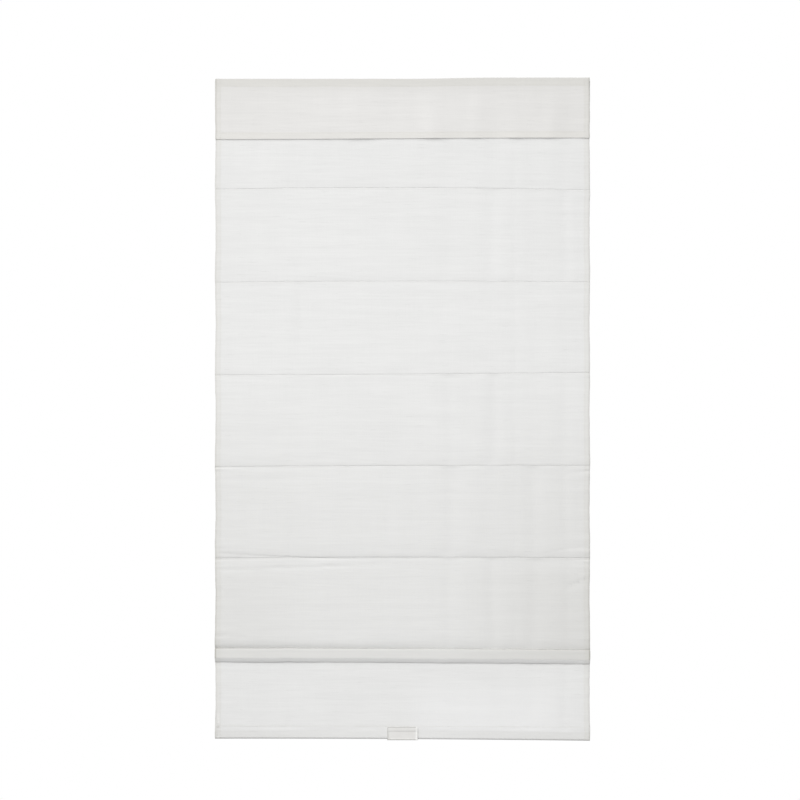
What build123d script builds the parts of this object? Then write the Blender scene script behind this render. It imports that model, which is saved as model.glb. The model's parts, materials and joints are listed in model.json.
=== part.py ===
from build123d import *
import math
import os

os.makedirs("parts", exist_ok=True)

# A cordless roman blind, in millimetres. X runs across the window, Y from the room to the wall, Z up.
# The origin is the middle of the four ceiling screws, level with the brackets' top faces.

# The blind as a whole
blind_width = 914.0
blind_drop = 1624.0
cloth_thickness = 0.8
layer_gap = 0.2
hem_width = 15.0
fit_gap = 0.3
press_gap = 0.05
running_gap = 0.08
fold_slack = 0.01
cut_overrun = 1.0

# Headrail: a roll-formed steel channel, open at the top, with an inward lip along each side
headrail_side_margin = 1.5
headrail_top_drop = 4.0
headrail_depth = 40.0
headrail_height = 40.0
headrail_wall = 0.8
headrail_lip = 6.0
headrail_corner = 1.6
end_cap_plate = 1.5
end_cap_plug = 8.0
end_cap_gap = 0.2
end_cap_edge = 0.5

# Brackets: pressed steel angles with a turning cam under the plate
bracket_from_end = 107.0
bracket_plate = 1.6
bracket_width = 46.0
bracket_outboard = 32.0
bracket_front_margin = 1.0
bracket_back_gap = 3.5
bracket_back_drop = 40.0
bracket_bend = 3.0
bracket_corner = 4.0
ceiling_screw_outset = 22.0
ceiling_screw_spacing = 16.0
wall_screw_drop = 14.0
wall_screw_spacing = 18.0
screw_hole_radius = 2.25
cam_plate = 1.5
cam_lever_length = 21.0
cam_lever_width = 9.0
cam_hub_radius = 7.5
cam_wing_reach = 16.5
cam_wing_width = 18.0
rivet_shank_radius = 2.5
rivet_flare_radius = 4.6
rivet_head_radius = 4.2
rivet_head_height = 1.3

# Spring motor: four geared drums in a row on upright posts, in a plastic tray with a lid
gear_teeth = 20
gear_module = 1.5
gear_thickness = 5.0
gear_root_modules = 1.25
gear_pressure_angle = 20.0
gear_backlash = 0.35
motor_wall = 1.5
motor_side_gap = 0.8
motor_end_gap = 1.2
motor_tray_wall_height = 13.0
drum_core_height = 19.0
drum_flange_radius = 14.0
drum_flange_height = 1.2
spool_core_radius = 10.5
storage_core_radius = 8.0
storage_coil_radius = 13.0
spring_core_radius = 10.0
spring_coil_radius = 11.8
spring_band = 0.5
spring_clearance = 1.0
cord_notch_half_width = 2.0
cord_notch_margin = 3.0
post_radius = 3.0
post_proud = 0.8
motor_screw_radius = 1.5
motor_screw_head_radius = 2.9
motor_screw_head_height = 1.6
motor_screw_length = 4.6
motor_boss_radius = 3.4
motor_boss_height = 4.2

# Cord guides: an insert in the headrail floor with a pulley over the lift line
lift_line = 280.0
guide_length = 28.0
guide_width = 14.0
guide_height = 16.0
guide_shoulder = 4.0
guide_slot = 5.0
guide_nose_length = 10.0
guide_nose_width = 6.0
guide_nose_drop = 2.0
guide_bore_radius = 1.6
pulley_radius = 5.5
pulley_groove_radius = 4.0
pulley_width = 4.2
pulley_rim = 0.6
pulley_height = 10.0
pin_radius = 1.0

# Hook tape on the headrail and loop tape on the cloth
tape_thickness = 1.0
tape_height = 20.0
tape_drop = 4.0
tape_side_margin = 7.0
panel_top_drop = 5.0

# Cloth panel: seams with a rod pocket behind each, a pleat under the lowest, and a bottom pocket
seam_count = 6
section_drop = 226.0
seam_neck = 2.2
seam_fold_radius = 1.0
neck_fold_radius = 0.7
pocket_corner_radius = 2.0
rib_radius = 2.5
rib_side_margin = 12.0
rib_end_chamfer = 0.5
pleat_drop = 33.0
pleat_fullness = 2.4
pleat_top_gap = 2.6
hem_closing_rise = 7.0
hem_flap = 5.0
hem_bend = 1.5
side_hem_margin = 2.0

# Valance: a second sheet that hangs in front of the headrail
valance_top_drop = 1.5
valance_drop = 150.0
valance_top_hem = 20.0
valance_bottom_hem = 18.0

# Cord rings sewn to the pockets
ring_outer_radius = 5.0
ring_inner_radius = 2.8
ring_width = 3.0
ring_chamfer = 0.75

# Bottom rail: a flattened hollow extrusion, its end plugs, anchors and pull handle
rail_height = 22.0
rail_thickness = 8.0
rail_wall = 1.2
rail_side_margin = 8.0
rail_cap_flange = 1.5
rail_cap_plug = 6.0
anchor_disc_radius = 6.0
anchor_disc_height = 2.0
anchor_stem_radius = 2.5
anchor_stem_length = 4.2
anchor_eye_size = 4.6
anchor_eye_height = 8.0
anchor_eye_bore = 1.2
anchor_eye_corner = 1.15
handle_width = 75.0
handle_height = 32.0
handle_front = 2.0
handle_floor = 1.8
handle_back = 1.8
handle_back_height = 15.0
handle_rim = 3.0
handle_recess = 0.8
handle_top_band = 9.0
handle_corner = 3.0
handle_edge = 0.6
handle_screw_reach = 25.0
handle_screw_rise = 9.0
handle_screw_radius = 1.2
handle_screw_head_radius = 2.3
handle_screw_head_height = 1.4
handle_screw_length = 6.0

# Planes that several pieces share
half_width = blind_width / 2
headrail_top = -headrail_top_drop
headrail_bottom = headrail_top - headrail_height
headrail_floor = headrail_bottom + headrail_wall
headrail_inner_half = headrail_depth / 2 - headrail_wall
headrail_length = blind_width - 2 * headrail_side_margin - 2 * end_cap_plate
hook_front = -headrail_depth / 2 - tape_thickness
panel_back = hook_front - tape_thickness
panel_front = panel_back - cloth_thickness
panel_middle = panel_back - cloth_thickness / 2
neck_half = (cloth_thickness + layer_gap) / 2
hem_layer = 1.5 * cloth_thickness
pocket_front = panel_middle + seam_neck
pocket_half = rib_radius + fit_gap + cloth_thickness / 2
rib_line = pocket_front + pocket_half
pocket_back = rib_line + pocket_half
ring_line = pocket_back + cloth_thickness / 2 + fit_gap + ring_outer_radius
seam_heights = [headrail_bottom - section_drop * (n + 1) for n in range(seam_count)]
rail_half_gap = rail_thickness / 2 + fit_gap + cloth_thickness / 2
rail_line = panel_middle + rail_half_gap
rail_bottom = -blind_drop + cloth_thickness + fit_gap
rail_top = rail_bottom + rail_height
hem_back = rail_line + rail_half_gap
hem_back_face = hem_back + cloth_thickness / 2
bracket_x = half_width - bracket_from_end
drum_pitch = gear_teeth * gear_module
drum_places = [drum_pitch * (n - 1.5) for n in range(4)]


def save(shape, node):
    """Write one node's solid or group of solids."""
    shape.label = node
    export_step(shape, f"parts/{node}.step")


def mirrored(shape):
    """The same piece on the other side of the blind."""
    return mirror(shape, about=Plane.YZ)


def save_pair(right, node):
    """Write a piece that both ends of the blind have."""
    save(right, f"{node}_right")
    save(mirrored(right), f"{node}_left")


def span_box(x_range, y_range, z_range):
    """A box between two values on each axis."""
    lows = (x_range[0], y_range[0], z_range[0])
    sizes = [pair[1] - pair[0] for pair in (x_range, y_range, z_range)]
    return Pos(*lows) * Box(*sizes, align=(Align.MIN, Align.MIN, Align.MIN))


def upright(radius, low, high, x=0.0, y=0.0):
    """A cylinder along Z between two heights."""
    return Pos(x, y, low) * Cylinder(radius, high - low, align=(Align.CENTER, Align.CENTER, Align.MIN))


def through(radius, near, far, x=0.0, z=0.0):
    """A cylinder along Y between two depths."""
    return Pos(x, near, z) * Rot(-90, 0, 0) * upright(radius, 0, far - near)


def across(profile, low, high):
    """A profile drawn in the side view, Y and Z, carried along X."""
    return Pos(low, 0, 0) * extrude(Plane.YZ * profile, high - low, dir=(1, 0, 0))


def headrail():
    """The steel channel, with a hole over each lift line and two for the motor's screws."""
    outer = RectangleRounded(headrail_depth, headrail_height, headrail_corner)
    inner = RectangleRounded(
        headrail_depth - 2 * headrail_wall,
        headrail_height - 2 * headrail_wall,
        headrail_corner - headrail_wall,
    )
    mouth = Rectangle(headrail_depth - 2 * headrail_lip, 3 * headrail_wall)
    middle = (headrail_top + headrail_bottom) / 2
    profile = Pos(0, middle) * (outer - inner) - Pos(0, headrail_top) * mouth
    channel = across(profile, -headrail_length / 2, headrail_length / 2)
    floor = (headrail_bottom - headrail_wall, headrail_floor + headrail_wall)
    for side in (-1, 1):
        x = side * lift_line
        half_length = guide_nose_length / 2 + press_gap
        half_depth = guide_nose_width / 2 + press_gap
        channel -= span_box(
            (x - half_length, x + half_length),
            (ring_line - half_depth, ring_line + half_depth),
            floor,
        )
        channel -= upright(motor_screw_radius + fit_gap, *floor, x=side * motor_screw_x)
    return channel


def headrail_end_cap():
    """A moulded plate with a hollow plug that pushes into the channel's end."""
    middle = (headrail_top + headrail_bottom) / 2
    plate = RectangleRounded(headrail_depth, headrail_height, headrail_corner)
    plug_depth = headrail_depth - 2 * headrail_wall - 2 * end_cap_gap
    plug_height = headrail_height - 2 * headrail_wall - 2 * end_cap_gap
    plug = RectangleRounded(plug_depth, plug_height, headrail_corner)
    plug -= Rectangle(plug_depth - 2 * end_cap_plate, plug_height - 2 * end_cap_plate)
    end = headrail_length / 2
    cap = across(Pos(0, middle) * plate, end, end + end_cap_plate)
    cap += across(Pos(0, middle) * plug, end - end_cap_plug, end)
    return fillet(cap.faces().sort_by(Axis.X)[-1].edges(), end_cap_edge)


def bracket():
    """The right-hand angle: top plate for the ceiling, back plate for a wall, and the rivet's hole."""
    front = -headrail_depth / 2 + bracket_front_margin
    back = headrail_depth / 2 + bracket_back_gap + bracket_plate / 2
    bend = FilletPolyline(
        (front, -bracket_plate / 2),
        (back, -bracket_plate / 2),
        (back, -bracket_back_drop),
        radius=bracket_bend,
    )
    inboard = bracket_x + bracket_outboard - bracket_width
    outboard = bracket_x + bracket_outboard
    angle = across(trace(bend, bracket_plate), inboard, outboard)
    corners = angle.edges().filter_by(Axis.Z).group_by(Axis.Y)[0]
    corners += angle.edges().filter_by(Axis.Y).group_by(Axis.Z)[0]
    angle = fillet(corners, bracket_corner)
    screw_x = bracket_x + ceiling_screw_outset
    for side in (-1, 1):
        y = side * ceiling_screw_spacing / 2
        angle -= upright(screw_hole_radius, -2 * bracket_plate, bracket_plate, screw_x, y)
        z = -wall_screw_drop - wall_screw_spacing / 2 + side * wall_screw_spacing / 2
        angle -= through(screw_hole_radius, back - bracket_plate, back + bracket_plate, screw_x, z)
    flare = Cone(
        rivet_shank_radius + press_gap,
        rivet_flare_radius + press_gap,
        bracket_plate,
        align=(Align.CENTER, Align.CENTER, Align.MAX),
    )
    return angle - Pos(bracket_x, 0, 0) * flare


def bracket_rivet():
    """The pivot that hangs the cam: flush in the plate, with its closed head under the cam."""
    flare = Cone(
        rivet_shank_radius,
        rivet_flare_radius,
        bracket_plate,
        align=(Align.CENTER, Align.CENTER, Align.MAX),
    )
    head_top = cam_bottom - fit_gap
    shank = upright(rivet_shank_radius, head_top, 0)
    head = upright(rivet_head_radius, head_top - rivet_head_height, head_top)
    head = fillet(head.faces().sort_by(Axis.Z)[0].edges(), rivet_head_height / 2)
    return Pos(bracket_x, 0, 0) * (flare + shank + head)


def bracket_cam():
    """Lever above the lips, hub between them and two wings below, one steel piece."""
    lever = Pos(-cam_lever_length / 2, 0) * SlotOverall(cam_lever_length + cam_lever_width, cam_lever_width)
    lever_plan = Circle(cam_hub_radius) + lever
    lever_plan &= Circle(cam_lever_length)
    wing_plan = Circle(cam_wing_reach) & Rectangle(cam_wing_width, 2 * cam_wing_reach)
    cam = Pos(0, 0, lever_bottom) * extrude(lever_plan, cam_plate)
    cam += upright(cam_hub_radius, cam_bottom, lever_bottom)
    cam += Pos(0, 0, cam_bottom) * extrude(wing_plan, cam_plate)
    cam -= upright(rivet_shank_radius + running_gap, cam_bottom, 0)
    return Pos(bracket_x, 0, 0) * cam


def gear_plan(turn):
    """A spur gear's outline: flanks on the involute through root, pitch and tip circle."""
    pitch_radius = gear_teeth * gear_module / 2
    base_radius = pitch_radius * math.cos(math.radians(gear_pressure_angle))
    tip_radius = pitch_radius + gear_module
    root_radius = pitch_radius - gear_root_modules * gear_module

    def involute(radius):
        angle = math.acos(min(1.0, base_radius / radius))
        return math.tan(angle) - angle

    half_tooth = math.pi / (2 * gear_teeth) - gear_backlash / (4 * pitch_radius)
    points = []
    for tooth in range(gear_teeth):
        middle = math.radians(turn) + tooth * 2 * math.pi / gear_teeth
        for side in (-1, 1):
            radii = (root_radius, pitch_radius, tip_radius)
            for radius in radii if side < 0 else reversed(radii):
                half = half_tooth + involute(pitch_radius) - involute(radius)
                angle = middle + side * half
                points.append((radius * math.cos(angle), radius * math.sin(angle)))
    return make_face(Polyline(*points, close=True))


def drum(number, core_radius):
    """A drum on its post: gear below, core for cord or spring, flange above."""
    turn = 0 if number % 2 == 0 else 180 / gear_teeth
    body = Pos(0, 0, gear_bottom) * extrude(gear_plan(turn), gear_thickness)
    body += upright(core_radius, gear_top, flange_bottom)
    body += upright(drum_flange_radius, flange_bottom, drum_top)
    body -= upright(post_radius + running_gap, gear_bottom, drum_top)
    return Pos(drum_places[number], 0, 0) * body


def motor_base():
    """Tray with a low wall, one post for each drum and a boss for each screw."""
    length = motor_length / 2
    depth = headrail_inner_half - motor_side_gap
    walls = span_box((-length, length), (-depth, depth), (headrail_floor, tray_top))
    hollow_x = length - motor_wall
    hollow_y = depth - motor_wall
    walls -= span_box((-hollow_x, hollow_x), (-hollow_y, hollow_y), (tray_floor, tray_top))
    for x in drum_places:
        walls += upright(post_radius, tray_floor, lid_top + post_proud, x)
    for side in (-1, 1):
        x = side * motor_screw_x
        foot = (x - motor_boss_radius, x + motor_boss_radius)
        ear = span_box(foot, (-motor_boss_radius, motor_boss_radius), (headrail_floor, boss_top))
        walls += ear
        walls -= upright(motor_screw_radius + press_gap, headrail_floor, boss_top, x)
    return walls


def motor_cover():
    """Lid with a skirt that meets the tray's wall, holes for the posts and a notch for each cord."""
    length = motor_length / 2
    depth = headrail_inner_half - motor_side_gap
    lid = span_box((-length, length), (-depth, depth), (tray_top, lid_top))
    hollow_x = length - motor_wall
    hollow_y = depth - motor_wall
    lid -= span_box((-hollow_x, hollow_x), (-hollow_y, hollow_y), (tray_top, lid_top - motor_wall))
    for x in drum_places:
        lid -= upright(post_radius + press_gap, tray_top, lid_top, x)
    for side in (-1, 1):
        lid -= span_box(
            sorted((side * (hollow_x - cut_overrun), side * (length + cut_overrun))),
            (-spool_core_radius - cord_notch_half_width, -spool_core_radius + cord_notch_half_width),
            (gear_top + cord_notch_margin, flange_bottom - cord_notch_margin),
        )
    lid = fillet(lid.edges().filter_by(Axis.Z).group_by(Axis.X)[0], motor_wall / 2)
    return lid


def motor_screws():
    """Two pan-head screws from under the headrail into the tray."""
    group = []
    for side in (-1, 1):
        x = side * motor_screw_x
        head_bottom = headrail_bottom - motor_screw_head_height
        head = upright(motor_screw_head_radius, head_bottom, headrail_bottom, x)
        head = fillet(head.faces().sort_by(Axis.Z)[0].edges(), motor_screw_head_height / 2)
        shank_top = headrail_bottom + motor_screw_length
        group.append(head + upright(motor_screw_radius, headrail_bottom, shank_top, x))
    return Compound(children=group)


def motor_spring():
    """The flat steel spring: a coil round the storage drum, a thin coil round the next, one band across."""
    spring_x = drum_places[1]
    storage_x = drum_places[2]
    plan = Pos(spring_x, 0) * (Circle(spring_coil_radius) - Circle(spring_core_radius + fit_gap))
    plan += Pos(storage_x, 0) * (Circle(storage_coil_radius) - Circle(storage_core_radius + fit_gap))
    # the band is the inner tangent of the two coils, at half its own thickness inside each
    near_radius = spring_coil_radius - spring_band / 2
    far_radius = storage_coil_radius - spring_band / 2
    lean = math.acos((near_radius + far_radius) / (storage_x - spring_x))
    start = (spring_x + near_radius * math.cos(lean), near_radius * math.sin(lean))
    end = (storage_x - far_radius * math.cos(lean), -far_radius * math.sin(lean))
    plan += trace(Line(start, end), spring_band)
    low = gear_top + spring_clearance
    high = flange_bottom - spring_clearance
    return Pos(0, 0, low) * extrude(plan, high - low)


def cord_guide():
    """The right-hand insert: two cheeks for the pulley's pin and a nose with the cord's hole."""
    half_length = guide_length / 2
    x_range = (pulley_x - half_length, pulley_x + half_length)
    y_range = (ring_line - guide_width / 2, ring_line + guide_width / 2)
    guide = span_box(x_range, y_range, (headrail_floor, headrail_floor + guide_height))
    guide = fillet(guide.edges().filter_by(Axis.Y).group_by(Axis.Z)[-1], guide_shoulder)
    slot_y = (ring_line - guide_slot / 2, ring_line + guide_slot / 2)
    slot_floor = headrail_floor + pulley_height - pulley_radius - fit_gap
    guide -= span_box(
        (x_range[0] - cut_overrun, x_range[1] + cut_overrun),
        slot_y,
        (slot_floor, headrail_floor + guide_height + cut_overrun),
    )
    nose_x = (lift_line - guide_nose_length / 2, lift_line + guide_nose_length / 2)
    nose_y = (ring_line - guide_nose_width / 2, ring_line + guide_nose_width / 2)
    guide += span_box(nose_x, nose_y, (headrail_bottom - guide_nose_drop, headrail_floor))
    guide -= upright(guide_bore_radius, headrail_bottom - guide_nose_drop, slot_floor, lift_line, ring_line)
    guide -= through(pin_radius + press_gap, y_range[0], y_range[1], pulley_x, pulley_z)
    return guide


def pulley():
    """A small grooved wheel on a cross pin."""
    half = pulley_width / 2
    profile = make_face(
        Polyline(
            (pin_radius + running_gap, -half),
            (pulley_radius, -half),
            (pulley_radius, -half + pulley_rim),
            (pulley_groove_radius, 0),
            (pulley_radius, half - pulley_rim),
            (pulley_radius, half),
            (pin_radius + running_gap, half),
            close=True,
        )
    )
    wheel = revolve(Plane.XZ * profile, Axis.Z)
    return Pos(pulley_x, ring_line, pulley_z) * Rot(90, 0, 0) * wheel


def fold_path():
    """The cloth's middle line in side view, top to hem: (points, corner radii)."""
    points = [(panel_middle, -panel_top_drop)]
    radii = []
    for number, z in enumerate(seam_heights):
        points += [
            (panel_middle, z + neck_half),
            (pocket_front, z + neck_half),
            (pocket_front, z + pocket_half),
            (pocket_back, z + pocket_half),
            (pocket_back, z - pocket_half),
            (pocket_front, z - pocket_half),
            (pocket_front, z - neck_half),
        ]
        radii += [seam_fold_radius, neck_fold_radius] + [pocket_corner_radius] * 4 + [neck_fold_radius]
        if number < seam_count - 1:
            points.append((panel_middle, z - neck_half))
            radii.append(seam_fold_radius)
    lowest = seam_heights[-1]
    pleat_inner = panel_middle - cloth_thickness - layer_gap
    pleat_outer = pleat_inner - pleat_fullness
    points += [
        (pleat_outer, lowest - neck_half),
        (pleat_outer, lowest - pleat_drop + cloth_thickness / 2),
        (pleat_inner, lowest - pleat_drop + cloth_thickness / 2),
        (pleat_inner, lowest - pleat_top_gap),
        (panel_middle, lowest - pleat_top_gap),
    ]
    tight = (cloth_thickness + layer_gap) / 2 - fold_slack
    pleat_bend = pleat_fullness / 2 - fold_slack
    radii += [seam_fold_radius, pleat_bend, pleat_bend, tight, tight]
    hem_bottom = -blind_drop + cloth_thickness / 2
    flap_line = panel_middle + cloth_thickness
    points += [
        (panel_middle, hem_bottom),
        (hem_back, hem_bottom),
        (hem_back, rail_top),
        (flap_line, rail_top + hem_closing_rise),
        (flap_line, rail_top + hem_closing_rise + hem_flap),
    ]
    pocket_bend = rail_half_gap - fold_slack
    radii += [pocket_bend, pocket_bend, hem_bend, hem_bend]
    return points, radii


def fabric_panel():
    """The whole panel as one folded sheet, with doubled side hems and holes for what is screwed on."""
    points, radii = fold_path()
    sheet = across(trace(FilletPolyline(*points, radius=radii), cloth_thickness), -half_width, half_width)
    tops = [-panel_top_drop] + [z - side_hem_margin for z in seam_heights[:-1]]
    tops.append(seam_heights[-1] - pleat_top_gap - side_hem_margin)
    bottoms = [z + side_hem_margin for z in seam_heights] + [rail_top + hem_closing_rise + 2 * hem_flap]
    hems = Sketch()
    for top, bottom in zip(tops, bottoms):
        strip = Rectangle(hem_layer, top - bottom, align=(Align.MIN, Align.MIN))
        hems += Pos(panel_middle, bottom) * strip
    # the topmost hems end under the loop tape
    hems -= Pos(panel_back, 0) * Rectangle(
        2 * cloth_thickness, 2 * (tape_drop + tape_height - headrail_top), align=(Align.MIN, Align.CENTER)
    )
    sheet += across(hems, half_width - hem_width, half_width)
    sheet += across(hems, -half_width, hem_width - half_width)
    reach = (hem_back - cloth_thickness, hem_back + cloth_thickness)
    for side in (-1, 1):
        x = side * lift_line
        sheet -= through(anchor_stem_radius + fit_gap, *reach, x, anchor_z)
        x = side * handle_screw_reach
        sheet -= through(handle_screw_radius + fit_gap, *reach, x, handle_screw_z)
    return sheet


def valance():
    """The front sheet: a turned-back top, a bottom hem and doubled sides."""
    fold_line = panel_front - cloth_thickness / 2
    face_line = fold_line - cloth_thickness - layer_gap
    top = -valance_top_drop - cloth_thickness / 2
    bottom = -valance_top_drop - valance_drop + cloth_thickness / 2
    fold = (cloth_thickness + layer_gap) / 2 - fold_slack
    path = FilletPolyline(
        (fold_line, top - valance_top_hem),
        (fold_line, top),
        (face_line, top),
        (face_line, bottom),
        (fold_line, bottom),
        (fold_line, bottom + valance_bottom_hem),
        radius=[fold] * 4,
    )
    sheet = across(trace(path, cloth_thickness), -half_width, half_width)
    strip = Rectangle(
        hem_layer,
        valance_drop - valance_top_hem - valance_bottom_hem - 2 * side_hem_margin,
        align=(Align.MIN, Align.MIN),
    )
    hem = Pos(face_line, bottom + valance_bottom_hem + side_hem_margin) * strip
    sheet += across(hem, half_width - hem_width, half_width)
    sheet += across(hem, -half_width, hem_width - half_width)
    return sheet


def tape(front, margin):
    """A strip of fastening tape along the headrail's front."""
    top = headrail_top - tape_drop
    reach = headrail_length / 2 - margin
    return span_box((-reach, reach), (front, front + tape_thickness), (top - tape_height, top))


def rib(z):
    """A glass-fibre rod in its pocket."""
    length = blind_width - 2 * rib_side_margin
    rod = Pos(0, rib_line, z) * Rot(0, 90, 0) * Cylinder(rib_radius, length)
    return chamfer(rod.edges().filter_by(GeomType.CIRCLE), rib_end_chamfer)


def rib_rings(z):
    """The two cord rings of one pocket."""
    low = z - ring_width / 2
    high = z + ring_width / 2
    rings = []
    for side in (-1, 1):
        ring = upright(ring_outer_radius, low, high, side * lift_line, ring_line)
        ring = chamfer(ring.edges().filter_by(GeomType.CIRCLE), ring_chamfer)
        rings.append(ring - upright(ring_inner_radius, low, high, side * lift_line, ring_line))
    return Compound(children=rings)


def bottom_rail():
    """The flattened hollow extrusion in the bottom pocket, drilled for anchors and handle."""
    outer = Rot(0, 0, 90) * SlotOverall(rail_height, rail_thickness)
    inner = Rot(0, 0, 90) * SlotOverall(rail_height - 2 * rail_wall, rail_thickness - 2 * rail_wall)
    rail = across(Pos(rail_line, rail_middle) * (outer - inner), -rail_end, rail_end)
    back = rail_line + rail_thickness / 2
    for side in (-1, 1):
        reach = (rail_line, back + cut_overrun)
        rail -= through(anchor_stem_radius + press_gap, *reach, side * lift_line, anchor_z)
        rail -= through(handle_screw_radius + press_gap, *reach, side * handle_screw_reach, handle_screw_z)
    return rail


def bottom_rail_cap():
    """A flange with a solid plug that pushes into the rail's end."""
    flange = Rot(0, 0, 90) * SlotOverall(rail_height, rail_thickness)
    plug = Rot(0, 0, 90) * SlotOverall(
        rail_height - 2 * rail_wall - 2 * press_gap,
        rail_thickness - 2 * rail_wall - 2 * press_gap,
    )
    cap = across(Pos(rail_line, rail_middle) * flange, rail_end, rail_end + rail_cap_flange)
    cap = fillet(cap.faces().sort_by(Axis.X)[-1].edges(), rail_cap_flange / 2)
    return cap + across(Pos(rail_line, rail_middle) * plug, rail_end - rail_cap_plug, rail_end)


def cord_anchor():
    """A push-in button behind the hem: stem in the rail, disc on the cloth, eye over the lift line."""
    disc_front = hem_back_face + layer_gap
    disc_back = disc_front + anchor_disc_height
    stem_end = disc_front - anchor_stem_length
    button = through(anchor_disc_radius, disc_front, disc_back, lift_line, anchor_z)
    button += through(anchor_stem_radius, stem_end, disc_front, lift_line, anchor_z)
    half = anchor_eye_size / 2
    eye = span_box(
        (lift_line - half, lift_line + half),
        (disc_back, ring_line + half),
        (anchor_z - anchor_eye_height / 2, anchor_z + anchor_eye_height / 2),
    )
    eye = fillet(eye.edges().filter_by(Axis.Z).group_by(Axis.Y)[-1], anchor_eye_corner)
    ends = (anchor_z - anchor_eye_height, anchor_z + anchor_eye_height)
    bore = upright(anchor_eye_bore, *ends, lift_line, ring_line)
    return button + eye - bore


def pull_handle():
    """A moulded clip over the hem: front plate with a finger recess, floor and short back leg."""
    front_back = panel_front - layer_gap
    front = front_back - handle_front
    back_front = hem_back_face + layer_gap
    back = back_front + handle_back
    top = handle_bottom + handle_height
    half = handle_width / 2
    plate = span_box((-half, half), (front, front_back), (handle_bottom, top))
    plate = fillet(plate.edges().filter_by(Axis.Y).group_by(Axis.Z)[-1], handle_corner)
    floor_top = handle_bottom + handle_floor
    clip = plate + span_box((-half, half), (front_back, back), (handle_bottom, floor_top))
    leg = span_box((-half, half), (back_front, back), (handle_bottom, handle_bottom + handle_back_height))
    clip += fillet(leg.edges().filter_by(Axis.Y).group_by(Axis.Z)[-1], handle_corner)
    rim = half - handle_rim
    recess = span_box(
        (-rim, rim),
        (front - cut_overrun, front + handle_recess),
        (handle_bottom + handle_rim, top - handle_top_band),
    )
    clip -= fillet(recess.edges().filter_by(Axis.Y), handle_corner / 2)
    clip = fillet(clip.faces().sort_by(Axis.Y)[0].outer_wire().edges(), handle_edge)
    for side in (-1, 1):
        x = side * handle_screw_reach
        hole = (handle_screw_radius + press_gap, back_front - cut_overrun, back + cut_overrun)
        clip -= through(*hole, x, handle_screw_z)
    return clip


def handle_screws():
    """Two small screws from behind, through the hem into the rail."""
    seat = hem_back_face + layer_gap + handle_back
    group = []
    for side in (-1, 1):
        x = side * handle_screw_reach
        head = through(handle_screw_head_radius, seat, seat + handle_screw_head_height, x, handle_screw_z)
        head = fillet(head.faces().sort_by(Axis.Y)[-1].edges(), handle_screw_head_height / 2)
        shank = through(handle_screw_radius, seat - handle_screw_length, seat, x, handle_screw_z)
        group.append(head + shank)
    return Compound(children=group)


# Places that follow from the sizes above and that only some pieces share
lever_bottom = -bracket_plate - fit_gap - cam_plate
cam_bottom = headrail_top - headrail_wall - fit_gap - cam_plate
tray_floor = headrail_floor + motor_wall
tray_top = headrail_floor + motor_tray_wall_height
gear_bottom = tray_floor + fit_gap
gear_top = gear_bottom + gear_thickness
flange_bottom = gear_top + drum_core_height
drum_top = flange_bottom + drum_flange_height
lid_top = drum_top + fit_gap + motor_wall
boss_top = headrail_floor + motor_boss_height
gear_tip = (gear_teeth / 2 + 1) * gear_module
motor_length = 3 * drum_pitch + 2 * (gear_tip + motor_end_gap + motor_wall)
motor_screw_x = motor_length / 2 + motor_boss_radius
pulley_x = lift_line - pulley_groove_radius
pulley_z = headrail_floor + pulley_height
rail_middle = rail_bottom + rail_height / 2
rail_end = half_width - rail_side_margin
anchor_z = rail_middle
handle_bottom = -blind_drop - layer_gap - handle_floor
handle_screw_z = handle_bottom + handle_screw_rise

save(headrail(), "headrail")
save_pair(headrail_end_cap(), "headrail_end_cap")
save_pair(bracket(), "bracket")
save_pair(bracket_rivet(), "bracket_rivet")
save_pair(bracket_cam(), "bracket_cam")

save(motor_base(), "motor_base")
save(motor_cover(), "motor_cover")
save(motor_screws(), "motor_screws")
save(drum(0, spool_core_radius), "spool_left")
save(drum(1, spring_core_radius), "spring_drum")
save(drum(2, storage_core_radius), "storage_drum")
save(drum(3, spool_core_radius), "spool_right")
save(motor_spring(), "motor_spring")

save_pair(cord_guide(), "cord_guide")
save_pair(pulley(), "pulley")
pin = through(pin_radius, ring_line - guide_width / 2, ring_line + guide_width / 2, pulley_x, pulley_z)
save_pair(pin, "pulley_pin")

save(tape(hook_front, tape_side_margin), "hook_tape")
save(tape(panel_back, tape_side_margin), "loop_tape")
save(valance(), "valance")
save(fabric_panel(), "fabric_panel")
for number, z in enumerate(seam_heights, start=1):
    save(rib(z), f"rib_{number}")
    save(rib_rings(z), f"rib_rings_{number}")

save(bottom_rail(), "bottom_rail")
save_pair(bottom_rail_cap(), "bottom_rail_cap")
save_pair(cord_anchor(), "cord_anchor")
save(pull_handle(), "pull_handle")
save(handle_screws(), "handle_screws")
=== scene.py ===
import json
import math

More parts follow.
